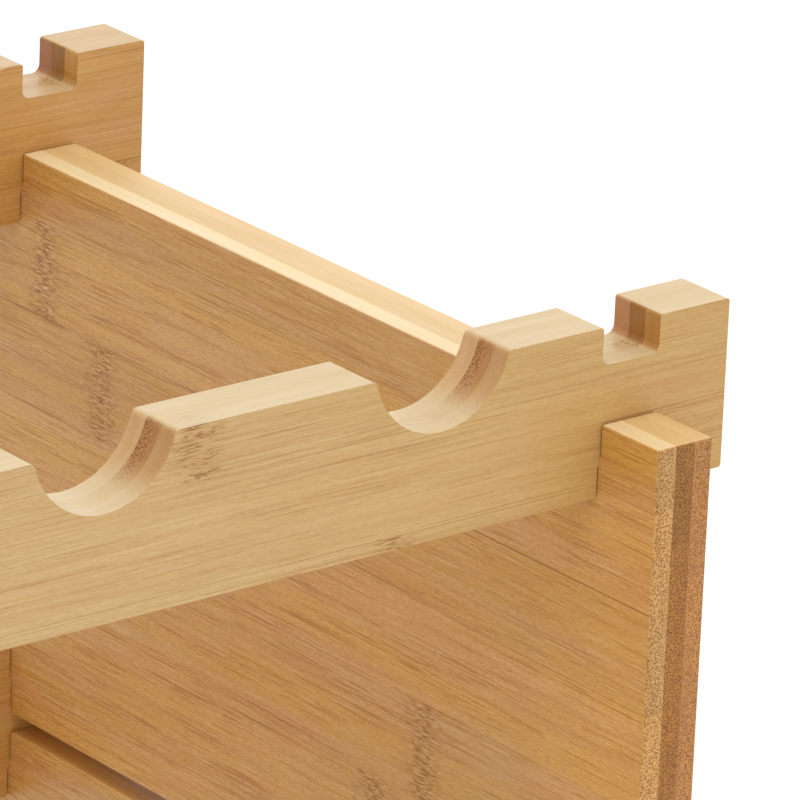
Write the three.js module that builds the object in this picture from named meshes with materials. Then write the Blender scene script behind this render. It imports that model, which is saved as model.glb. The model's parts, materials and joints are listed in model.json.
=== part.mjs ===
// A stacking wine rack of laminated bamboo boards, held together by its cross-lap slots alone.
//
// Units are millimetres and +Z is up. The origin is on the floor under the middle of the rack,
// with +X to the right and -Y to the front, where the necks of the bottles lie.
//
// Rows of two rails alternate with pairs of side panels. In each row the front rail has small
// scallops for the necks and the back rail has large ones for the bodies. Every rail has two
// slots in its top edge and two in its bottom edge, and so has every panel. Where a rail
// crosses a panel, the slot of one drops over the slot of the other.

import * as THREE from "three";

// The boards and their laps
const BOARD_THICKNESS = 15;
const SIDE_CLEARANCE = 0.5; // on each side of a board that stands in a slot
const SEAT_GAP = 0.3; // between the two slot floors of one lap
const SLOT_DEPTH = 8.6;

// How many rows and bottles the rack takes
const ROW_NAMES = ["bottom", "middle", "top"];
const LEVEL_NAMES = ["lower", "upper"];
const BOTTLES_IN_ROW = 4;

// The rails
const RAIL_HEIGHT = 38.5;
const BOTTLE_PITCH = 86.5;
const LAST_BOTTLE_TO_PANEL = 51; // middle of the last scallop to the middle of the panel
const END_TOOTH = 19; // length of rail outside the slot
const NECK_SCALLOP = { radius: 17.8, centreAboveTop: 3.3 };
const BODY_SCALLOP = { radius: 40, centreAboveTop: 15 };
const ARC_DIVISIONS = 9; // an arc is drawn with twice as many flats

// The side panels
const ROW_SPACING = 145; // floor of one row's rails to the floor of the next row's
const RAIL_SPACING = 209; // middle of the front rail to the middle of the back rail
const PANEL_STUB = 19; // how far a panel stands out past the face of a rail

// Sizes that follow from those
const SLOT_WIDTH = BOARD_THICKNESS + 2 * SIDE_CLEARANCE;
const LAP_HEIGHT = 2 * SLOT_DEPTH - SEAT_GAP; // how far a rail and a panel overlap in height
const PANEL_HEIGHT = ROW_SPACING - RAIL_HEIGHT + 2 * LAP_HEIGHT;
const PANEL_DEPTH = RAIL_SPACING + BOARD_THICKNESS + 2 * PANEL_STUB;
const PANEL_MIDDLE = ((BOTTLES_IN_ROW - 1) * BOTTLE_PITCH) / 2 + LAST_BOTTLE_TO_PANEL;
const RAIL_LENGTH = 2 * PANEL_MIDDLE + SLOT_WIDTH + 2 * END_TOOTH;

const BAMBOO = {
  neckRail: { color: "#dcb37c", roughness: 0.55, metalness: 0 },
  bodyRail: { color: "#d8ad74", roughness: 0.55, metalness: 0 },
  sidePanel: { color: "#cf9f66", roughness: 0.58, metalness: 0 },
};

// One square slot cut up into the bottom edge, on an outline that runs from left to right.
function bottomSlot(outline, middle) {
  const half = SLOT_WIDTH / 2;
  outline.lineTo(middle - half, 0);
  outline.lineTo(middle - half, SLOT_DEPTH);
  outline.lineTo(middle + half, SLOT_DEPTH);
  outline.lineTo(middle + half, 0);
}

// One square slot cut down into the top edge, on an outline that runs from right to left.
function topSlot(outline, middle, height) {
  const half = SLOT_WIDTH / 2;
  outline.lineTo(middle + half, height);
  outline.lineTo(middle + half, height - SLOT_DEPTH);
  outline.lineTo(middle - half, height - SLOT_DEPTH);
  outline.lineTo(middle - half, height);
}

// One round scallop in the top edge, on an outline that runs from right to left.
function scallop(outline, middle, height, { radius, centreAboveTop }) {
  const lipAngle = Math.asin(centreAboveTop / radius);
  const halfChord = radius * Math.cos(lipAngle);
  outline.lineTo(middle + halfChord, height);
  outline.absarc(middle, height + centreAboveTop, radius, -lipAngle, lipAngle - Math.PI, true);
}

// The outline of a board from its left end to its right end, with a slot at -slotMiddle and at
// +slotMiddle in both edges. topScallops lists scallop middles from right to left.
function boardOutline(length, height, slotMiddle, topScallops, shape) {
  const outline = new THREE.Shape();
  outline.moveTo(-length / 2, 0);
  bottomSlot(outline, -slotMiddle);
  bottomSlot(outline, slotMiddle);
  outline.lineTo(length / 2, 0);
  outline.lineTo(length / 2, height);
  topSlot(outline, slotMiddle, height);
  for (const middle of topScallops) {
    scallop(outline, middle, height, shape);
  }
  topSlot(outline, -slotMiddle, height);
  outline.lineTo(-length / 2, height);
  outline.closePath();
  return outline;
}

// A board cut from an outline, standing in the XZ plane with its thickness centred on Y.
function cutBoard(outline) {
  const geometry = new THREE.ExtrudeGeometry(outline, {
    depth: BOARD_THICKNESS,
    bevelEnabled: false,
    curveSegments: ARC_DIVISIONS,
  });
  geometry.translate(0, 0, -BOARD_THICKNESS / 2);
  geometry.rotateX(Math.PI / 2);
  return geometry;
}

function bottleMiddles() {
  const middles = [];
  for (let place = BOTTLES_IN_ROW - 1; place >= 0; place -= 1) {
    middles.push((place - (BOTTLES_IN_ROW - 1) / 2) * BOTTLE_PITCH);
  }
  return middles;
}

function railGeometry(shape) {
  const outline = boardOutline(RAIL_LENGTH, RAIL_HEIGHT, PANEL_MIDDLE, bottleMiddles(), shape);
  return cutBoard(outline);
}

// A side panel is the same kind of board, turned so that its length runs front to back.
function panelGeometry() {
  const outline = boardOutline(PANEL_DEPTH, PANEL_HEIGHT, RAIL_SPACING / 2, [], null);
  const geometry = cutBoard(outline);
  geometry.rotateZ(Math.PI / 2);
  return geometry;
}

function board(name, geometry, finish, place) {
  const mesh = new THREE.Mesh(geometry, new THREE.MeshStandardMaterial(finish));
  mesh.name = name;
  mesh.position.set(place.x, place.y, place.z);
  return mesh;
}

// The two rails of one row, placed by the height of their bottom edges.
function railRow(rowName, height) {
  const row = new THREE.Group();
  const front = { x: 0, y: -RAIL_SPACING / 2, z: 0 };
  const back = { x: 0, y: RAIL_SPACING / 2, z: 0 };
  row.add(board(`neck_rail_${rowName}`, railGeometry(NECK_SCALLOP), BAMBOO.neckRail, front));
  row.add(board(`body_rail_${rowName}`, railGeometry(BODY_SCALLOP), BAMBOO.bodyRail, back));
  row.position.z = height;
  return row;
}

// The two side panels of one level, placed by the height of their bottom edges.
function panelPair(levelName, height) {
  const pair = new THREE.Group();
  const left = { x: -PANEL_MIDDLE, y: 0, z: 0 };
  const right = { x: PANEL_MIDDLE, y: 0, z: 0 };
  pair.add(board(`side_panel_${levelName}_left`, panelGeometry(), BAMBOO.sidePanel, left));
  pair.add(board(`side_panel_${levelName}_right`, panelGeometry(), BAMBOO.sidePanel, right));
  pair.position.z = height;
  return pair;
}

const wineRack = new THREE.Group();
ROW_NAMES.forEach((name, row) => {
  wineRack.add(railRow(name, row * ROW_SPACING));
});
LEVEL_NAMES.forEach((name, level) => {
  wineRack.add(panelPair(name, level * ROW_SPACING + RAIL_HEIGHT - LAP_HEIGHT));
});

export default wineRack;
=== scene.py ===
import json
import math

import bmesh
import bpy
from mathutils import Matrix, Vector


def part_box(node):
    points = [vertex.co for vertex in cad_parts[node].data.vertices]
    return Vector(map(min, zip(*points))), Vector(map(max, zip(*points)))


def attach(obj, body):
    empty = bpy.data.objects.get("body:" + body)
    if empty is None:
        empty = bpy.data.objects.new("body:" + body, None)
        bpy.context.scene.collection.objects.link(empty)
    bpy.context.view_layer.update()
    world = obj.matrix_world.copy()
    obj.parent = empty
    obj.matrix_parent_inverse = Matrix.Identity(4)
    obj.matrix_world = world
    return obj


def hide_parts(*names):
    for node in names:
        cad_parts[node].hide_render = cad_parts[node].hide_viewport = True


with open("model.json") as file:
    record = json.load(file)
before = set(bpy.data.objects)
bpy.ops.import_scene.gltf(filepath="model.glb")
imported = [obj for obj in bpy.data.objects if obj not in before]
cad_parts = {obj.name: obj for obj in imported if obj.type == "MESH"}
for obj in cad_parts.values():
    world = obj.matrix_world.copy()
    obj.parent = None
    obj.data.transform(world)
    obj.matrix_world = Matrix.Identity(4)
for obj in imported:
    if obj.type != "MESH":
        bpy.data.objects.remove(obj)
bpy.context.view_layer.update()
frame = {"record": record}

# A stacking wine rack of laminated bamboo boards that lap over each other in square slots.
# Two rails, a neck rail in front and a body rail behind, alternate with pairs of side panels.
# Everything is in metres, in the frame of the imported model: +Z up and the front towards -Y.

bl_info = {
    "name": "Bamboo wine rack",
    "version": (1, 0, 0),
    "blender": (4, 5, 0),
    "location": "View3D > Sidebar > Wine rack",
    "description": "Models the slotted boards of a stacking wine rack, their bamboo and a studio",
    "category": "Object",
}

MM = 0.001
BODIES = frame["record"]["behaviour"]["bodies"]
ROWS = ("top", "middle", "bottom")
PANELS = ("upper_right", "upper_left", "lower_right", "lower_left")

ARC_SLACK = 0.15 * MM  # how far inside its arc the middle of one of its sides may lie
SAME_PLACE = 0.02 * MM  # two points nearer than this are one
MERGE_DISTANCE = 0.01 * MM
FLAT_ANGLE = math.radians(0.5)  # faces that turn less than this are one flat face
SMOOTH_ANGLE = math.radians(40)
EASED_ANGLE = math.radians(60)  # only corners sharper than this are eased
EASING_STEPS = 4
CORNER_STEPS = 5
NECK_ARC_STEPS = 26  # how many flats the arc of a neck scallop is drawn with
BODY_ARC_STEPS = 44


def linear(hex_colour):
    """Turns an sRGB colour such as #d9b47c to linear red, green and blue, by the standard's own
    curve."""
    parts = [int(hex_colour[place : place + 2], 16) / 255 for place in (1, 3, 5)]
    return [p / 12.92 if p <= 0.04045 else ((p + 0.055) / 1.055) ** 2.4 for p in parts]


def length(name, description, millimetres):
    return bpy.props.FloatProperty(
        name=name,
        description=description,
        default=millimetres * MM,
        min=0.0,
        precision=5,
        unit="LENGTH",
    )


def colour(name, description, hex_colour):
    return bpy.props.FloatVectorProperty(
        name=name,
        description=description,
        default=linear(hex_colour),
        min=0.0,
        max=1.0,
        subtype="COLOR",
    )


class RackSizes(bpy.types.PropertyGroup):
    """The shaping of the boards"""

    # The slots are 16 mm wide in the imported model. Here they are drawn 15.5 mm wide, so that each
    # wall lies 0.25 mm closer to its board and the dark line between the two is no wider than on
    # the real thing. The corner rounding has to stay larger than the edge easing, or the eased
    # edges of a corner would run through each other.
    slot_width: length("Slot width", "Width of the slots where boards cross", 15.5)
    slot_depth: length("Slot depth", "How deep each slot goes into its board", 8.6)
    slot_corner: length("Slot corner", "Radius that the cutter leaves in a slot's corners", 2)
    bottle_pitch: length("Bottle pitch", "Distance between neighbouring scallops", 86.5)
    neck_radius: length("Neck radius", "Radius of the neck scallops", 17.8)
    neck_rise: length("Neck rise", "Height of a neck scallop's centre above the rail", 3.3)
    body_radius: length("Body radius", "Radius of the body scallops", 40)
    body_rise: length("Body rise", "Height of a body scallop's centre above the rail", 15)
    lip_rounding: length("Lip rounding", "How far the lips of the scallops are rounded", 1.3)
    corner_rounding: length("Corner rounding", "Radius on the outer corners of a board", 0.8)
    edge_easing: length("Edge easing", "Width of the sanded round on every edge", 0.6)
    scallop_easing: length("Scallop easing", "Width of the round along the scallops", 1.3)


class RackColours(bpy.types.PropertyGroup):
    """The colours of the bamboo and the studio"""

    neck_rail: colour("Neck rail", "Faces of the pale front rails", "#d9ba82")
    body_rail: colour("Body rail", "Faces of the warmer back rails", "#d1a45a")
    side_panel: colour("Side panel", "Faces of the side panels", "#dcac5f")
    warm: colour("Warm", "The pinker bands in the faces", "#daa874")
    cream: colour("Cream", "The palest wood, along planed edges", "#efdcb4")
    fibre: colour("Fibre", "Dark fibres and the stain around a knuckle", "#a86c10")
    knuckle: colour("Knuckle", "Dashes in the knuckles, and glue seams", "#8a5208")
    bundle: colour("Bundle", "What tints the wood at the bundles on a cut end", "#b09208")
    paper: colour("Studio paper", "The floor under the rack", "#f4f4f2")


# ---------------------------------------------------------------- modelling the boards


class Board:
    """Where the board of one CAD node stands. Points on it are given by their distance along it
    from its middle, up from its lower edge, and through it from its near face."""

    def __init__(self, node):
        self.low, self.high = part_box(node)
        self.size = self.high - self.low
        self.runs_across = self.size.x > self.size.y
        self.along = Vector((1, 0, 0)) if self.runs_across else Vector((0, 1, 0))
        self.through = Vector((0, 1, 0)) if self.runs_across else Vector((1, 0, 0))
        self.length = self.size.dot(self.along)
        self.thickness = self.size.dot(self.through)
        self.height = self.size.z
        self.turn = 0.0 if self.runs_across else math.pi / 2
        self.middle = (self.low + self.high) / 2

    def at(self, along, up):
        """A point on the near face."""
        point = self.middle + self.along * along - self.through * self.thickness / 2
        point.z = self.low.z + up
        return point

    def place(self, point):
        """How far along and up a point lies."""
        return (point - self.middle).dot(self.along), point.z - self.low.z


def slot_middle(board):
    """How far from the middle of a board the middles of its slots lie."""
    crossing = "side_panel_upper_right" if board.runs_across else "body_rail_top"
    return Board(crossing).middle.dot(board.along)


def pick(kind, test):
    """In edit mode, selects the vertices, edges or faces whose middle passes the test."""
    bpy.ops.mesh.select_mode(type=kind)
    bpy.ops.mesh.select_all(action="DESELECT")
    data = bpy.context.object.data
    mesh = bmesh.from_edit_mesh(data)
    items = {"VERT": mesh.verts, "EDGE": mesh.edges, "FACE": mesh.faces}[kind]
    for item in items:
        corners = [item] if kind == "VERT" else item.verts
        middle = sum((v.co for v in corners), Vector()) / len(corners)
        if test(middle):
            item.select_set(True)
    bmesh.update_edit_mesh(data)


def cut_across(board, along=None, up=None):
    """Cuts the whole face along one upright or one level line."""
    bpy.ops.mesh.select_all(action="SELECT")
    if up is None:
        bpy.ops.mesh.bisect(plane_co=board.at(along, 0), plane_no=board.along)
    else:
        bpy.ops.mesh.bisect(plane_co=board.at(0, up), plane_no=(0, 0, 1))


def lay_out_blank(board):
    """Adds the near face of the board as a plane at its size and place, in edit mode."""
    bpy.ops.object.select_all(action="DESELECT")
    bpy.ops.mesh.primitive_plane_add(
        size=1, location=board.at(0, board.height / 2), rotation=(math.pi / 2, 0, board.turn)
    )
    blank = bpy.context.object
    blank.scale = (board.length, board.height, 1)
    bpy.ops.object.transform_apply(location=True, rotation=True, scale=True)
    bpy.ops.object.mode_set(mode="EDIT")
    return blank


def cut_slots(board, sizes):
    """Takes the four slots out of the near face."""
    middle = slot_middle(board)
    half = sizes.slot_width / 2
    for side in (-1, 1):
        cut_across(board, along=side * middle - half)
        cut_across(board, along=side * middle + half)
    cut_across(board, up=sizes.slot_depth)
    cut_across(board, up=board.height - sizes.slot_depth)

    def in_slot(point):
        along, up = board.place(point)
        from_edge = min(up, board.height - up)
        return abs(abs(along) - middle) < half and from_edge < sizes.slot_depth

    pick("FACE", in_slot)
    bpy.ops.mesh.delete(type="FACE")


def scallop_span(radius, rise):
    """Half the width of a scallop's mouth, and half the angle that its arc turns through."""
    return math.sqrt(radius**2 - rise**2), math.acos(rise / radius)


def cut_scallop(board, middle, radius, rise, steps):
    """Replaces the top of the face between two lips by an arc spun from lip to lip."""
    half, half_angle = scallop_span(radius, rise)
    for side in (-1, 1):
        cut_across(board, along=middle + side * half)

    def between_lips(point):
        return abs(board.place(point)[0] - middle) < half - SAME_PLACE

    pick("FACE", between_lips)
    bpy.ops.mesh.delete(type="ONLY_FACE")
    pick("EDGE", lambda point: between_lips(point) and board.place(point)[1] > SAME_PLACE)
    bpy.ops.mesh.delete(type="EDGE")
    lip = board.at(middle + half, board.height)
    pick("VERT", lambda point: (point - lip).length < SAME_PLACE)
    bpy.ops.mesh.spin(
        steps=steps,
        angle=2 * half_angle,
        center=board.at(middle, board.height + rise),
        axis=-board.through,
    )
    bpy.ops.mesh.select_all(action="SELECT")
    bpy.ops.mesh.remove_doubles(threshold=MERGE_DISTANCE)
    pick("EDGE", lambda point: abs(board.place(point)[0] - middle) < half + SAME_PLACE)
    bpy.ops.mesh.edge_face_add()


def round_corners(board, corners, radius):
    """Rounds the corners of the outline that lie at these distances along and up."""
    points = [board.at(along, up) for along, up in corners]
    pick("VERT", lambda point: any((point - p).length < SAME_PLACE for p in points))
    bpy.ops.mesh.bevel(offset=radius, segments=CORNER_STEPS, affect="VERTICES")


def round_outline(board, sizes, lips):
    """Joins the cut face into one and rounds its corners as cutter and sander leave them."""
    bpy.ops.mesh.select_all(action="SELECT")
    bpy.ops.mesh.dissolve_limited(angle_limit=FLAT_ANGLE)
    middle, half = slot_middle(board), sizes.slot_width / 2
    top, end = board.height, board.length / 2
    walls = [side * middle + out * half for side in (-1, 1) for out in (-1, 1)]
    floors = (sizes.slot_depth, top - sizes.slot_depth)
    mouths = [(wall, up) for wall in walls for up in (0, top)]
    ends = [(side * end, up) for side in (-1, 1) for up in (0, top)]
    if lips:
        round_corners(board, [(lip, top) for lip in lips], sizes.lip_rounding)
    round_corners(board, [(wall, up) for wall in walls for up in floors], sizes.slot_corner)
    round_corners(board, mouths + ends, sizes.corner_rounding)


def thicken_and_ease(board, piece, sizes, on_scallop):
    """Extrudes the face to the board's thickness and rounds its edges, the scallops' the most."""
    bpy.ops.mesh.select_all(action="SELECT")
    push = board.through * board.thickness
    bpy.ops.mesh.extrude_region_move(TRANSFORM_OT_translate={"value": push})
    bpy.ops.mesh.select_all(action="SELECT")
    bpy.ops.mesh.normals_make_consistent(inside=False)
    bpy.ops.mesh.select_mode(type="EDGE")
    bpy.ops.mesh.select_all(action="DESELECT")
    bpy.ops.mesh.edges_select_sharp(sharpness=EASED_ANGLE)
    # The scallops' easing is the widest, and is full weight. The other edges have a share of it.
    share = sizes.edge_easing / sizes.scallop_easing
    bpy.ops.transform.edge_bevelweight(value=share)
    pick("EDGE", on_scallop)
    bpy.ops.transform.edge_bevelweight(value=1 - share)
    bpy.ops.object.mode_set(mode="OBJECT")
    easing = piece.modifiers.new("Easing", "BEVEL")
    easing.limit_method = "WEIGHT"
    easing.width = sizes.scallop_easing
    easing.segments = EASING_STEPS
    bpy.ops.object.modifier_apply(modifier=easing.name)
    bpy.ops.object.shade_smooth_by_angle(angle=SMOOTH_ANGLE)
    flats = piece.modifiers.new("Flats", "WEIGHTED_NORMAL")
    flats.keep_sharp = True
    bpy.ops.object.modifier_apply(modifier=flats.name)


def model_board(board_node, sizes, scallops=(), radius=0.0, rise=0.0, steps=0):
    """Models the board of one CAD node, with scallops of one size in its top edge."""
    board = Board(board_node)
    piece = lay_out_blank(board)
    cut_slots(board, sizes)
    for middle in scallops:
        cut_scallop(board, middle, radius, rise, steps)
    half = scallop_span(radius, rise)[0] if scallops else 0.0
    lips = [middle + side * half for middle in scallops for side in (-1, 1)]
    round_outline(board, sizes, lips)

    def on_scallop(point):
        along, up = board.place(point)
        # An edge that runs through the board has its middle near the board's, and isn't eased more.
        from_middle = abs((point - board.middle).dot(board.through))
        if from_middle < board.thickness / 4:
            return False
        reaches = [math.hypot(along - middle, board.height + rise - up) for middle in scallops]
        return any(abs(reach - radius) < ARC_SLACK for reach in reaches)

    thicken_and_ease(board, piece, sizes, on_scallop)
    return piece


def copy_board(piece, from_node, to_node):
    """Copies a finished board, with a mesh of its own, to where another CAD node is."""
    bpy.ops.object.select_all(action="DESELECT")
    piece.select_set(True)
    bpy.context.view_layer.objects.active = piece
    bpy.ops.object.duplicate(linked=False)
    copy = bpy.context.object
    copy.location = Board(to_node).low - Board(from_node).low
    bpy.ops.object.transform_apply(location=True, rotation=False, scale=False)
    return copy


def bottle_middles(sizes):
    """Where the scallops lie along a rail: as many as fit between the two panels."""
    reach = slot_middle(Board("neck_rail_top"))
    count = int(2 * reach / sizes.bottle_pitch)
    return [(place - (count - 1) / 2) * sizes.bottle_pitch for place in range(count)]


# ---------------------------------------------------------------- finishing the boards


def result(made):
    """The output that a node has in use."""
    return next(output for output in made.outputs if output.enabled)


def node(tree, kind, settings, inputs):
    """Adds a shader node, with its settings and with its inputs set or linked. An input is named,
    or numbered where several share a name, and a node given as a value is linked by its result."""
    made = tree.nodes.new(kind)
    for name, value in settings.items():
        setattr(made, name, value)
    for key, value in inputs.items():
        named = [socket for socket in made.inputs if socket.enabled and socket.name == key]
        socket = made.inputs[key] if isinstance(key, int) else named[0]
        if isinstance(value, bpy.types.Node):
            value = result(value)
        if isinstance(value, bpy.types.NodeSocket):
            tree.links.new(value, socket)
        else:
            socket.default_value = value
    return made


def maths(tree, operation, *values):
    """One step of arithmetic, on numbers or on what other nodes give."""
    return node(tree, "ShaderNodeMath", {"operation": operation}, dict(enumerate(values)))


def fade(tree, value, start, full):
    """0 where the value is at start or before it, 1 at full or past it, and smooth between."""
    return node(
        tree,
        "ShaderNodeMapRange",
        {"interpolation_type": "SMOOTHSTEP"},
        {"Value": value, "From Min": start, "From Max": full},
    )


def spread(tree, value, low, high):
    """Turns a value that runs from 0 to 1 into one that runs evenly from low to high."""
    return node(tree, "ShaderNodeMapRange", {}, {"Value": value, "To Min": low, "To Max": high})


def shaded(tree, colour, factor):
    """Makes a colour darker or lighter."""
    return node(tree, "ShaderNodeVectorMath", {"operation": "SCALE"}, {0: colour, "Scale": factor})


def apart(tree, vector):
    """The X, Y and Z of a vector."""
    return node(tree, "ShaderNodeSeparateXYZ", {}, {0: vector}).outputs


def opaque(colour):
    return [*colour, 1.0]


def finish_board(piece, board_node, material):
    """Names a piece for its CAD node, gives it its material, ties it in place to that node's body
    and hides the CAD part.
    """
    piece.name = f"{board_node}_board"
    piece.data.name = piece.name
    piece.data.materials.clear()
    piece.data.materials.append(material)
    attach(piece, next(body for body, nodes in BODIES.items() if board_node in nodes))
    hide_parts(board_node)


# How a board is glued up, in millimetres
PLY = 5.0  # a board is pressed from three plies of this thickness
PLY_SLACK = 1.0001  # keeps a point on the far face in the third ply
STRIP = 23.0  # each ply is glued up from strips of this width
STRIP_SHIFT = 8.0  # how far the seams of one ply lie from those of the next
SEAM = 0.3  # half the width of the dark line at a seam
GLUE_LINE = 0.16  # half the width of the line between two plies

# The knuckles, in millimetres
NO_KNUCKLE = 260.0  # a place past both ends of every board
KNUCKLE_SHIFT = 37.0  # from a knuckle in one ply to the one in the next ply's strip
KNUCKLE_HALF = 6.5  # from a knuckle's middle to its ends
KNUCKLE_FULL = -0.4 * KNUCKLE_HALF  # so that it is full only along the fibres that run out most
KNUCKLE_RAGGED = 4.0  # how far a knuckle's ends run out along some fibres

# The patterns in the wood: size in millimetres along the grain, through the board and up it, then
# the levels of noise where a pattern starts to show and where it is full. A single fibre is a few
# hundredths of a millimetre wide, too fine to see from where the camera stands, so the finest
# patterns are drawn 0.3 to 0.4 mm wide.
BANDS = ((200, 7, 7), 0.36, 0.66)
DRIFT = ((120, 50, 50), 0.3, 0.7)
SOFT_STREAKS = ((160, 1.8, 1.8), 0.3, 0.7)
SHADES = ((50, 3.2, 3.2), 0.50, 0.75)
FLECKS = ((2.0, 0.3, 0.3), 0.35, 0.70)
CLUSTERS = ((70, 3, 3), 0.42, 0.58)
SEAM_BREAKS = ((40, 30, 30), 0.30, 0.46)
KNUCKLE_ENDS = ((8, 1.5, 1.5), 0.3, 0.7)
CUT_STAIN = ((30, 3, 18), 0.3, 0.7)
UNEVEN_DOTS = ((30, 1.5, 5), 0.25, 0.75)
SPECKS = ((20, 0.3, 0.3), 0.50, 0.60)
CHIPS = ((0.6, 0.4, 0.4), 0.50, 0.58)
WEAR = ((40, 3, 3), 0.3, 0.7)
PORES = ((20, 0.4, 0.4), 0.3, 0.7)

# Three kinds of fibre: length as a share of the board's fibre length, width in millimetres, and
# the same two levels of noise
PALE_FIBRES = (1.3, 0.42, 0.54, 0.66)
DARK_FIBRES = (1.0, 0.36, 0.53, 0.61)
LONG_FIBRES = (3.0, 0.4, 0.63, 0.67)

# How strong the finer octaves of the noise are, and how many of them there are
NOISE_ROUGHNESS = 0.6
SOFT_DETAIL = 1.5
CRISP_DETAIL = 2.0
GLINT_LEVELS = (0.44, 0.38)  # glints lie where the noise is low, and dashes where it is high

# The cut ends
SANDED_FADE = 3  # millimetres over which the sanded wood turns to sawn wood
CUT_TONES = (0.90, 1.1)  # the darkest and the palest strip, against the colour of their ply
STAIN_TINT = (0.92, 0.88, 0.80)
PITH_TINT = (1.35, 1.33, 1.28)  # the pale soft wood between the bundles
BUNDLE_CELLS = (25, 0.40, 0.40)  # millimetres that a bundle of fibres has to itself
DOT_LEVELS = (0.54, 0.36)  # from the rim of a dot to where it is full, as shares of its cell
CROWD_FADE = 0.4  # share of a ply over which the dots thin out
CROWD_UNEVEN = 0.5  # how much further they reach in places, as a share of a ply
GLUE_TINT = 0.3

# The slots' floors
CHIPS_BY_PLY = (0.0, 0.7, 0.0)  # only the middle ply's fibres chip
CHIPS_FROM_MIDDLE = 4.0  # millimetres from the slot's middle to where they are at their most

# The surface
PATTERN_SHIFT = (731.0, 53.0, 97.0)  # millimetres from one board's patterns to the next one's
EDGE_LEVELS = (0.5, 0.95)  # how squarely a face looks up or down before it shows an edge's colour
END_LEVELS = (0.35, 0.85)  # and along the grain before it shows the cut ends
EDGE_SHARE = 0.64
ROUGHNESS = (0.40, 0.52)  # satin, from the most to the least worn places
PORE_DEPTH = 0.03 * MM
PORE_STRENGTH = 0.4
LACQUER_IOR = 1.5


def placed_on(tree, board, start):
    """Gives a point's place on the board as one vector, in millimetres along the grain from the
    board's middle, through the board, and up from its lower edge, plus the start."""
    corner = Vector((board.middle.dot(board.along), board.low.dot(board.through), board.low.z))
    point = node(tree, "ShaderNodeTexCoord", {}, {}).outputs["Object"]
    parts = apart(tree, point)
    along, through = ("X", "Y") if board.runs_across else ("Y", "X")
    turned = node(
        tree,
        "ShaderNodeCombineXYZ",
        {},
        {"X": parts[along], "Y": parts[through], "Z": parts["Z"]},
    )
    return node(
        tree,
        "ShaderNodeMapping",
        {},
        {"Vector": turned, "Location": Vector(start) - corner / MM, "Scale": (1 / MM,) * 3},
    )


def patches(tree, place, size, start, full, detail=SOFT_DETAIL):
    """A pattern of soft patches of noise, of one size and between two levels."""
    stretched = node(tree, "ShaderNodeVectorMath", {"operation": "DIVIDE"}, {0: place, 1: size})
    noise = node(
        tree,
        "ShaderNodeTexNoise",
        {},
        {"Vector": stretched, "Scale": 1.0, "Detail": detail, "Roughness": NOISE_ROUGHNESS},
    )
    return fade(tree, noise, start, full)


def fibres(tree, place, look, kind):
    """One of the kinds of fibre, as long as this board has them."""
    share, width, start, full = kind
    return patches(tree, place, (look["fibre_length"] * share, width, width), start, full)


def lay_over(tree, under, over, share, *masks, blend="MIX"):
    """Lays a share of one colour over another, where all the masks are 1."""
    for mask in masks:
        share = maths(tree, "MULTIPLY", mask, share)
    return node(
        tree,
        "ShaderNodeMix",
        {"data_type": "RGBA", "blend_type": blend},
        {"Factor": share, "A": under, "B": over},
    )


def stepped(tree, value, steps):
    """Gives one of a few colours or shares, by a whole number from 0 up. Each step is read at its
    middle, so that rounding can't slip into the next one."""
    middle = maths(tree, "ADD", value, 0.5)
    share = maths(tree, "DIVIDE", middle, len(steps))
    ramp = node(tree, "ShaderNodeValToRGB", {}, {"Fac": share})
    ramp.color_ramp.interpolation = "CONSTANT"
    stops = ramp.color_ramp.elements
    stops.remove(stops[1])  # a new ramp has two stops, and the first serves the first step
    for number, step in enumerate(steps):
        stop = stops.new(number / len(steps)) if number else stops[0]
        stop.color = opaque(linear(step) if isinstance(step, str) else [step] * 3)
    return ramp.outputs["Color"]


def strips_at(tree, place, look):
    """Finds the ply and the strip that a point is in, and how near it is to their edges."""
    where = apart(tree, place)
    plies = maths(tree, "DIVIDE", where["Y"], PLY_SLACK * PLY)
    ply = maths(tree, "FLOOR", plies)
    # A ping-pong over 0.5 gives how far a number is from the nearest whole one.
    near_glue = maths(tree, "PINGPONG", plies, 0.5)
    shifted = maths(tree, "MULTIPLY_ADD", ply, STRIP_SHIFT, where["Z"])
    counted = maths(tree, "MULTIPLY_ADD", shifted, 1 / STRIP, -look["first_seam"] / STRIP)
    strip = maths(tree, "FLOOR", counted)
    near_seam = maths(tree, "PINGPONG", counted, 0.5)
    seam = fade(tree, near_seam, SEAM / STRIP, 0.0)
    dark = stepped(tree, maths(tree, "ROUND", counted), look["seams"])
    label = node(tree, "ShaderNodeCombineXYZ", {}, {"X": strip, "Y": ply, "Z": look["seed"]})
    return {
        "ply": ply,
        "depth": maths(tree, "FRACT", plies),
        "strip": strip,
        "seam": maths(tree, "MULTIPLY", seam, dark),
        "glue": fade(tree, near_glue, GLUE_LINE / PLY, 0.0),
        "chance": node(tree, "ShaderNodeTexWhiteNoise", {}, {"Vector": label}).outputs["Value"],
    }


def knuckle_at(tree, place, strips, knuckles):
    """1 in the knuckles, the rings that the living culm had between its hollows, and 0 away from
    them. Each strip of a ply has one knuckle at most."""
    # A ramp holds no number under 0 or over 1, so the places are coded as shares of a longer board.
    half = NO_KNUCKLE + 1
    coded = stepped(tree, strips["strip"], [spot / (2 * half) + 0.5 for spot in knuckles])
    along = apart(tree, place)["X"]
    across_plies = maths(tree, "MULTIPLY_ADD", strips["ply"], KNUCKLE_SHIFT, along)
    from_start = maths(tree, "ADD", across_plies, half)
    away = maths(tree, "ABSOLUTE", maths(tree, "MULTIPLY_ADD", coded, -2 * half, from_start))
    ragged = patches(tree, place, *KNUCKLE_ENDS)
    reach = maths(tree, "MULTIPLY_ADD", ragged, -KNUCKLE_RAGGED, away)
    return fade(tree, reach, KNUCKLE_HALF, KNUCKLE_FULL)


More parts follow.
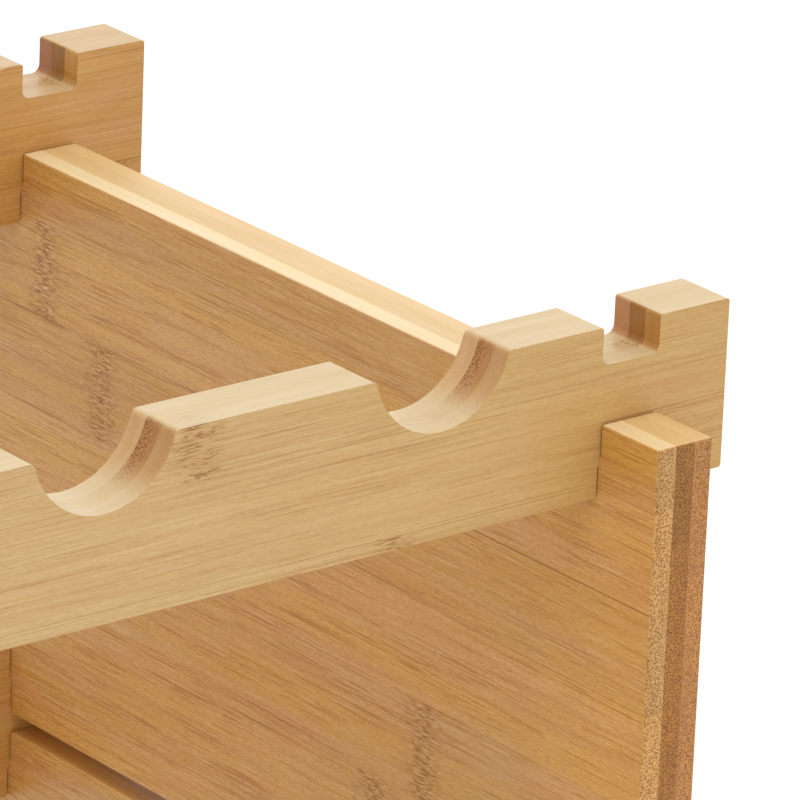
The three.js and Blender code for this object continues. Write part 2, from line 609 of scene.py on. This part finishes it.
def face_grain(tree, place, strips, knuckle, face, colours, look):
    """The faces and edges that run with the grain: broad warm bands, a fine even grain, pale and
    dark fibres in loose clusters, seams between the strips and dashes in the knuckles."""
    fibre, cream = opaque(colours.fibre), opaque(colours.cream)
    seam_colour = opaque(colours.knuckle)
    bands = patches(tree, place, *BANDS)
    colour = lay_over(tree, face, opaque(colours.warm), look["bands"], bands)
    drift = patches(tree, place, *DRIFT)
    colour = lay_over(tree, colour, opaque(look["drift"]), 1.0, drift, blend="MULTIPLY")
    colour = shaded(tree, colour, spread(tree, strips["chance"], 1 - look["strip_tone"], 1.0))
    colour = lay_over(tree, colour, fibre, look["soft"], patches(tree, place, *SOFT_STREAKS))
    colour = lay_over(tree, colour, fibre, look["flecks"], patches(tree, place, *FLECKS))
    colour = lay_over(tree, colour, fibre, look["shades"], patches(tree, place, *SHADES))
    colour = lay_over(tree, colour, cream, look["pale"], fibres(tree, place, look, PALE_FIBRES))
    clusters = patches(tree, place, *CLUSTERS)
    dark = fibres(tree, place, look, DARK_FIBRES)
    colour = lay_over(tree, colour, fibre, look["dark"], dark, clusters)
    colour = lay_over(tree, colour, fibre, look["dark"], fibres(tree, place, look, LONG_FIBRES))
    broken = patches(tree, place, *SEAM_BREAKS)
    colour = lay_over(tree, colour, seam_colour, 1.0, strips["seam"], broken)
    colour = lay_over(tree, colour, fibre, look["knuckle_stain"], knuckle)
    dashes = patches(tree, place, look["dash"], *look["dashes_from"], detail=CRISP_DETAIL)
    colour = lay_over(tree, colour, seam_colour, look["dashes"], dashes, knuckle)
    glints = patches(tree, place, look["dash"], *GLINT_LEVELS, detail=CRISP_DETAIL)
    return lay_over(tree, colour, cream, look["glints"], glints, knuckle)


def end_grain(tree, place, away, strips, colours, look):
    """The cut ends: ground wood, with the dots of the fibre bundles and pale pith between them,
    which crowd towards the skin side of each ply, and the lines of glue between the plies. Nearer
    to the board's middle than a given distance they are sanded, and further out they are left as
    sawn, with their own colours and share of dots."""
    sanded = fade(tree, away, look["sanded_to"], look["sanded_to"] - SANDED_FADE)
    sawn_colour = stepped(tree, strips["ply"], look["plies"])
    sanded_colour = stepped(tree, strips["ply"], look["sanded_plies"])
    colour = lay_over(tree, sawn_colour, sanded_colour, 1.0, sanded)
    colour = shaded(tree, colour, spread(tree, strips["chance"], *CUT_TONES))
    stain = patches(tree, place, *CUT_STAIN)
    colour = lay_over(tree, colour, opaque(STAIN_TINT), 1.0, stain, blend="MULTIPLY")
    cells = node(
        tree, "ShaderNodeVectorMath", {"operation": "DIVIDE"}, {0: place, 1: BUNDLE_CELLS}
    )
    bundles = node(tree, "ShaderNodeTexVoronoi", {}, {"Vector": cells, "Scale": 1.0})
    dots = fade(tree, bundles.outputs["Distance"], *DOT_LEVELS)
    # From the ply named in the look on, the skin side is the far side of each ply.
    skin_is_far = maths(tree, "GREATER_THAN", strips["ply"], look["skin_outward_from"] - 0.5)
    from_skin = maths(tree, "ABSOLUTE", maths(tree, "SUBTRACT", strips["depth"], skin_is_far))
    uneven = patches(tree, place, *UNEVEN_DOTS)
    thinning = maths(tree, "MULTIPLY_ADD", uneven, -CROWD_UNEVEN, from_skin)
    crowd = fade(tree, thinning, look["dots_reach"], look["dots_reach"] - CROWD_FADE)
    clear = spread(tree, sanded, look["sawn_dots"], 1.0)
    share = maths(tree, "MULTIPLY", stepped(tree, strips["ply"], look["dots"]), clear)
    bundle = opaque(colours.bundle)
    colour = lay_over(tree, colour, bundle, share, dots, crowd, blend="MULTIPLY")
    specks = patches(tree, place, *SPECKS)
    colour = lay_over(tree, colour, opaque(PITH_TINT), share, specks, crowd, blend="MULTIPLY")
    return lay_over(tree, colour, bundle, GLUE_TINT, strips["glue"], blend="MULTIPLY")


def torn_at_slots(tree, board, away, edge):
    """1 on the floors of the slots, near the walls on the side of the board's ends, where the
    cutter leaves the fibres chipped."""
    from_middle = maths(tree, "SUBTRACT", away, slot_middle(board) / MM)
    near_wall = fade(tree, from_middle, 0.0, CHIPS_FROM_MIDDLE)
    slot_half = bpy.context.scene.rack_sizes.slot_width / 2 / MM
    in_slot = maths(tree, "LESS_THAN", from_middle, slot_half)
    on_floor = maths(tree, "MULTIPLY", in_slot, edge)
    return maths(tree, "MULTIPLY", near_wall, on_floor)


def laminated_bamboo(board_node, face, colours, look):
    """Strips of bamboo pressed into three plies, planed, sanded and given a thin satin lacquer.
    The eye sees long fine fibres on the faces, dashes at the knuckles, dots on the cut ends, and a
    soft sheen that turns bright at a low angle."""
    board = Board(board_node)
    material = bpy.data.materials.new(f"laminated_bamboo_{board_node}")
    material.use_nodes = True
    tree = material.node_tree
    shader = tree.nodes["Principled BSDF"]
    fibre = opaque(colours.fibre)
    place = placed_on(tree, board, (0, 0, 0))
    own_place = placed_on(tree, board, [look["seed"] * shift for shift in PATTERN_SHIFT])
    strips = strips_at(tree, place, look)
    knuckle = knuckle_at(tree, place, strips, look["knuckles"])
    along = apart(tree, place)["X"]
    away = maths(tree, "ABSOLUTE", along)
    facing = apart(tree, node(tree, "ShaderNodeTexCoord", {}, {}).outputs["Normal"])
    endwise = facing["X" if board.runs_across else "Y"]
    edge = fade(tree, maths(tree, "ABSOLUTE", facing["Z"]), *EDGE_LEVELS)
    end = fade(tree, maths(tree, "ABSOLUTE", endwise), *END_LEVELS)
    start, full = look["golden_from"]
    golden = node(
        tree, "ShaderNodeMapRange", {}, {"Value": along, "From Min": start, "From Max": full}
    )
    colour = face_grain(tree, own_place, strips, knuckle, opaque(face), colours, look)
    colour = lay_over(tree, colour, opaque(look["golden"]), 1.0, golden, blend="MULTIPLY")
    edge_tones = stepped(tree, strips["ply"], look["edges"])
    colour = lay_over(tree, colour, edge_tones, EDGE_SHARE, edge)
    colour = lay_over(tree, colour, fibre, look["glue_lines"], strips["glue"], edge)
    chips = patches(tree, own_place, *CHIPS)
    by_ply = stepped(tree, strips["ply"], CHIPS_BY_PLY)
    torn = torn_at_slots(tree, board, away, edge)
    colour = lay_over(tree, colour, fibre, by_ply, chips, torn)
    cut = end_grain(tree, own_place, away, strips, colours, look)
    colour = lay_over(tree, colour, cut, end)
    tree.links.new(result(colour), shader.inputs["Base Color"])
    sheen = spread(tree, patches(tree, own_place, *WEAR), *ROUGHNESS)
    tree.links.new(result(sheen), shader.inputs["Roughness"])
    pores = patches(tree, own_place, *PORES, detail=CRISP_DETAIL)
    bump = node(
        tree,
        "ShaderNodeBump",
        {},
        {"Height": pores, "Strength": PORE_STRENGTH, "Distance": PORE_DEPTH},
    )
    tree.links.new(result(bump), shader.inputs["Normal"])
    shader.inputs["IOR"].default_value = LACQUER_IOR
    return material


# ---------------------------------------------------------------- the looks of the boards


# What sets the kinds of board apart. Places are in millimetres along the grain from the board's
# middle, colours of plies go from the near face to the far one, and shares run from 0 to 1.
#   seed: shifts all the patterns
#   first_seam, seams: height of the first seam, which may lie under the board, and how dark each
#       seam is from there up
#   knuckles: the place of the knuckle in each strip, from the lowest up
#   plies, sanded_plies: colours of the cut ends, as sawn and where sanded
#   sanded_to: the cut ends nearer to the middle than this are sanded, and none if it is under 0
#   edges: colours of the top and bottom edges
#   drift, golden, golden_from: tints of the faces, and the places where golden starts and is full
#   bands, soft, shades, flecks, pale, dark: shares of the patterns along the grain
#   strip_tone: how much darker than the palest strip the darkest one is
#   dots, sawn_dots: share of the dots in each ply, and what is left of them on sawn ends
#   dots_reach: how far the dots reach from the skin side, as a share of a ply
#   skin_outward_from: the first ply, counted from 0, that has its skin on the far side
#   fibre_length: in millimetres
#   glue_lines: how dark the lines of glue are in the top and bottom edges
#   knuckle_stain, dashes, glints: shares of the patterns in a knuckle
#   dash, dashes_from: size in millimetres and levels of noise of the dashes in a knuckle
NECK_LOOK = {
    "seed": 1,
    "first_seam": -20.0,
    "knuckles": (119, NO_KNUCKLE, 66.5, 30),
    "plies": ("#b8853c", "#a56d20", "#be8554"),
    "sanded_plies": ("#bd9058", "#b57f46", "#cfa673"),
    "edges": ("#cdbb94", "#c9b48a", "#cdbb94"),
    "drift": (0.98, 0.96, 0.92),
    "golden": (0.95, 0.86, 0.70),
    "golden_from": (10.0, 170.0),
    "sanded_to": 165.0,
    "bands": 0.22,
    "strip_tone": 0.03,
    "soft": 0.12,
    "shades": 0.10,
    "flecks": 0.18,
    "pale": 0.16,
    "dark": 0.32,
    "seams": (0.3, 0.25, 0.3, 0.2),
    "dots": (0.15, 0.85, 0.15),
    "dots_reach": 0.60,
    "sawn_dots": 0.15,
    "skin_outward_from": 1,
    "fibre_length": 26.0,
    "glue_lines": 0.0,
    "knuckle_stain": 0.22,
    "dash": (3.2, 0.55, 0.55),
    "dashes_from": (0.54, 0.59),
    "dashes": 0.68,
    "glints": 0.16,
}
BODY_LOOK = {
    **NECK_LOOK,
    "seed": 11,
    "first_seam": -13.0,
    "knuckles": (201.5, -40, 90, 10),
    "plies": ("#c08c40", "#9c6518", "#ad7246"),
    "edges": ("#c6b08a", "#c2a980", "#c6b08a"),
    "golden": (0.97, 0.91, 0.82),
    "bands": 0.4,
    "dots": (0.2, 0.2, 0.1),
}
PANEL_LOOK = {
    "seed": 21,
    "first_seam": -12.2,
    "knuckles": (NO_KNUCKLE, -41, -58, NO_KNUCKLE, 64, 87, NO_KNUCKLE),
    "plies": ("#cf9f60", "#ab7226", "#bd8447"),
    "sanded_plies": ("#cf9f60", "#ab7226", "#bd8447"),
    "edges": ("#f2e0b4", "#dec08a", "#e2c48e"),
    "drift": (0.97, 0.93, 0.84),
    "golden": (1.08, 1.03, 0.88),
    "golden_from": (-90.0, -120.0),
    "sanded_to": -10.0,
    "bands": 0.7,
    "strip_tone": 0.10,
    "soft": 0.12,
    "shades": 0.16,
    "flecks": 0.36,
    "pale": 0.16,
    "dark": 0.56,
    "seams": (0.3, 0.35, 0.2, 0.4, 0.35, 0.9, 0.3, 0.3),
    "dots": (0.95, 0.95, 0.85),
    "dots_reach": 1.0,
    "sawn_dots": 1.0,
    "skin_outward_from": 2,
    "fibre_length": 13.0,
    "glue_lines": 0.25,
    "knuckle_stain": 0.26,
    "dash": (2.8, 0.50, 0.50),
    "dashes_from": (0.51, 0.56),
    "dashes": 0.76,
    "glints": 0.34,
}

# Painted shade: the lower panels' edges are darker than the upper ones', for the gap between
# panels.
LOWER_EDGES_PAINTED_SHADE = ("#bd8340", "#a8722f", "#b67c3a")


def look_of_copy(look, copy, name):
    """Each board is cut from other strips, so its fibres and knuckles lie elsewhere."""
    side = -1 if copy % 2 else 1
    return {
        **look,
        "seed": look["seed"] + copy,
        "knuckles": [side * spot for spot in look["knuckles"][copy:] + look["knuckles"][:copy]],
        # The lower panels' edges take the darker colours: painted shade for the gap under the upper
        # panels.
        "edges": LOWER_EDGES_PAINTED_SHADE if name.startswith("side_panel_lower") else look["edges"],
    }


# ---------------------------------------------------------------- operators


def copy_and_finish(piece, names, face, colours, look):
    """Copies the first board of a kind to the places of the others, and finishes them all."""
    for copy, name in enumerate(names):
        board = copy_board(piece, names[0], name) if copy else piece
        copy_look = look_of_copy(look, copy, name)
        finish_board(board, name, laminated_bamboo(name, face, colours, copy_look))


class RackOperator:
    """What the operators share"""

    bl_options = {"REGISTER", "UNDO"}


class RACK_OT_neck_rails(RackOperator, bpy.types.Operator):
    """Model the front rails, with small scallops for the necks"""

    bl_idname = "rack.neck_rails"
    bl_label = "Neck rails"

    def execute(self, context):
        sizes, colours = context.scene.rack_sizes, context.scene.rack_colours
        names = [f"neck_rail_{row}" for row in ROWS]
        middles = bottle_middles(sizes)
        piece = model_board(
            names[0], sizes, middles, sizes.neck_radius, sizes.neck_rise, NECK_ARC_STEPS
        )
        copy_and_finish(piece, names, colours.neck_rail, colours, NECK_LOOK)
        return {"FINISHED"}


class RACK_OT_body_rails(RackOperator, bpy.types.Operator):
    """Model the back rails, with large scallops for the bodies of the bottles"""

    bl_idname = "rack.body_rails"
    bl_label = "Body rails"

    def execute(self, context):
        sizes, colours = context.scene.rack_sizes, context.scene.rack_colours
        names = [f"body_rail_{row}" for row in ROWS]
        middles = bottle_middles(sizes)
        piece = model_board(
            names[0], sizes, middles, sizes.body_radius, sizes.body_rise, BODY_ARC_STEPS
        )
        copy_and_finish(piece, names, colours.body_rail, colours, BODY_LOOK)
        return {"FINISHED"}


class RACK_OT_side_panels(RackOperator, bpy.types.Operator):
    """Model the side panels"""

    bl_idname = "rack.side_panels"
    bl_label = "Side panels"

    def execute(self, context):
        sizes, colours = context.scene.rack_sizes, context.scene.rack_colours
        names = [f"side_panel_{place}" for place in PANELS]
        piece = model_board(names[0], sizes)
        copy_and_finish(piece, names, colours.side_panel, colours, PANEL_LOOK)
        return {"FINISHED"}


# A long lens looks down on the right end of the top neck rail from the front left. It aims at a
# point on the rail's front face, given from the middle of the panel and from the rail's top edge.
# The lens is in millimetres, and the distance in metres.
CAMERA = {
    "lens": 339.7,
    "distance": 1.554,
    "azimuth": math.radians(39.184),
    "elevation": math.radians(20.481),
    "roll": math.radians(2.358),
    "inside_panel": 62.3 * MM,
    "below_top": 5.2 * MM,
}
SENSOR_WIDTH = 36  # millimetres, a full frame
CLIP_END = 100  # metres

# The light: an even white sky, a low soft box behind the rack that gives the sheen on its top
# edges, and one overhead. Azimuth and elevation are in degrees, sizes in metres, and radiance in
# watts per square metre and steradian.
SKY = 0.86  # strength
SOFT_BOXES = (
    {"name": "back", "azimuth": 39, "elevation": 28, "size": (2.6, 1.3), "radiance": 0.8},
    {"name": "top", "azimuth": 190, "elevation": 80, "size": (1.8, 1.8), "radiance": 1.5},
)
LIGHT_DISTANCE = 2.2
FLOOR_SIZE = 40  # metres, so that its far edge is never seen
FLOOR_GAP = 0.2 * MM  # keeps the floor out of the plane of the rails' undersides
PAPER_ROUGHNESS = 0.9


def direction(turn, lift):
    """Where an azimuth, turned from +Y towards +X, and an elevation point."""
    level = Vector((math.sin(turn), math.cos(turn), 0)) * math.cos(lift)
    return level + Vector((0, 0, math.sin(lift)))


class RACK_OT_studio(RackOperator, bpy.types.Operator):
    """Set up the paper floor, the soft lights and the camera"""

    bl_idname = "rack.studio"
    bl_label = "Studio"

    def execute(self, context):
        self.lay_paper(context)
        self.light_up(context)
        self.aim_camera(context)
        return {"FINISHED"}

    def lay_paper(self, context):
        """Matt paper has no sheen, so the eye sees only the rack's soft shadow on it."""
        bpy.ops.object.select_all(action="DESELECT")
        bpy.ops.mesh.primitive_plane_add(size=FLOOR_SIZE, location=(0, 0, -FLOOR_GAP))
        floor = bpy.context.object
        floor.name = "studio_floor"
        paper = bpy.data.materials.new("studio_paper")
        paper.use_nodes = True
        shader = paper.node_tree.nodes["Principled BSDF"]
        shader.inputs["Base Color"].default_value = opaque(context.scene.rack_colours.paper)
        shader.inputs["Roughness"].default_value = PAPER_ROUGHNESS
        floor.data.materials.append(paper)

    def light_up(self, context):
        world = bpy.data.worlds.new("studio_air")
        world.use_nodes = True
        sky = world.node_tree.nodes["Background"]
        sky.inputs["Color"].default_value = (1, 1, 1, 1)
        sky.inputs["Strength"].default_value = SKY
        for box in SOFT_BOXES:
            self.soft_box(box)
        context.scene.world = world
        context.scene.view_settings.view_transform = "Standard"

    def soft_box(self, box):
        towards = direction(math.radians(box["azimuth"]), math.radians(box["elevation"]))
        bpy.ops.object.light_add(
            type="AREA",
            location=towards * LIGHT_DISTANCE,
            rotation=towards.to_track_quat("Z", "Y").to_euler(),
        )
        lamp = bpy.context.object
        lamp.name = f"studio_{box['name']}_light"
        lamp.visible_camera = False
        lamp.data.shape = "RECTANGLE"
        lamp.data.size, lamp.data.size_y = box["size"]
        area = box["size"][0] * box["size"][1]
        lamp.data.energy = box["radiance"] * math.pi * area

    def aim_camera(self, context):
        panel, rail = Board("side_panel_upper_right"), Board("neck_rail_top")
        aim = Vector((panel.middle.x - CAMERA["inside_panel"], rail.low.y, rail.high.z))
        aim.z -= CAMERA["below_top"]
        turn, roll = CAMERA["azimuth"], CAMERA["roll"]
        forward = direction(turn, -CAMERA["elevation"])
        level = Vector((math.cos(turn), -math.sin(turn), 0))
        upright = level.cross(forward)
        right = level * math.cos(roll) + upright * math.sin(roll)
        top = upright * math.cos(roll) - level * math.sin(roll)
        bpy.ops.object.camera_add(
            location=aim - forward * CAMERA["distance"],
            rotation=Matrix((right, top, -forward)).transposed().to_euler(),
        )
        camera = bpy.context.object
        camera.name = "studio_camera"
        camera.data.lens = CAMERA["lens"]
        camera.data.sensor_width = SENSOR_WIDTH
        camera.data.clip_end = CLIP_END
        context.scene.camera = camera


class RACK_PT_sidebar(bpy.types.Panel):
    """The rack's sizes, colours and pieces"""

    bl_idname = "RACK_PT_sidebar"
    bl_label = "Wine rack"
    bl_space_type = "VIEW_3D"
    bl_region_type = "UI"
    bl_category = "Wine rack"

    def draw(self, context):
        for group in (context.scene.rack_sizes, context.scene.rack_colours):
            box = self.layout.box()
            for name in group.__annotations__:
                box.prop(group, name)
        for operator in OPERATORS:
            self.layout.operator(operator.bl_idname)


OPERATORS = (RACK_OT_neck_rails, RACK_OT_body_rails, RACK_OT_side_panels, RACK_OT_studio)
CLASSES = (RackSizes, RackColours, *OPERATORS, RACK_PT_sidebar)


def register():
    for each in CLASSES:
        bpy.utils.register_class(each)
    bpy.types.Scene.rack_sizes = bpy.props.PointerProperty(type=RackSizes)
    bpy.types.Scene.rack_colours = bpy.props.PointerProperty(type=RackColours)


def unregister():
    del bpy.types.Scene.rack_colours
    del bpy.types.Scene.rack_sizes
    for each in reversed(CLASSES):
        bpy.utils.unregister_class(each)


def main():
    register()
    bpy.ops.rack.neck_rails()
    bpy.ops.rack.body_rails()
    bpy.ops.rack.side_panels()
    bpy.ops.rack.studio()


if __name__ == "__main__":
    main()
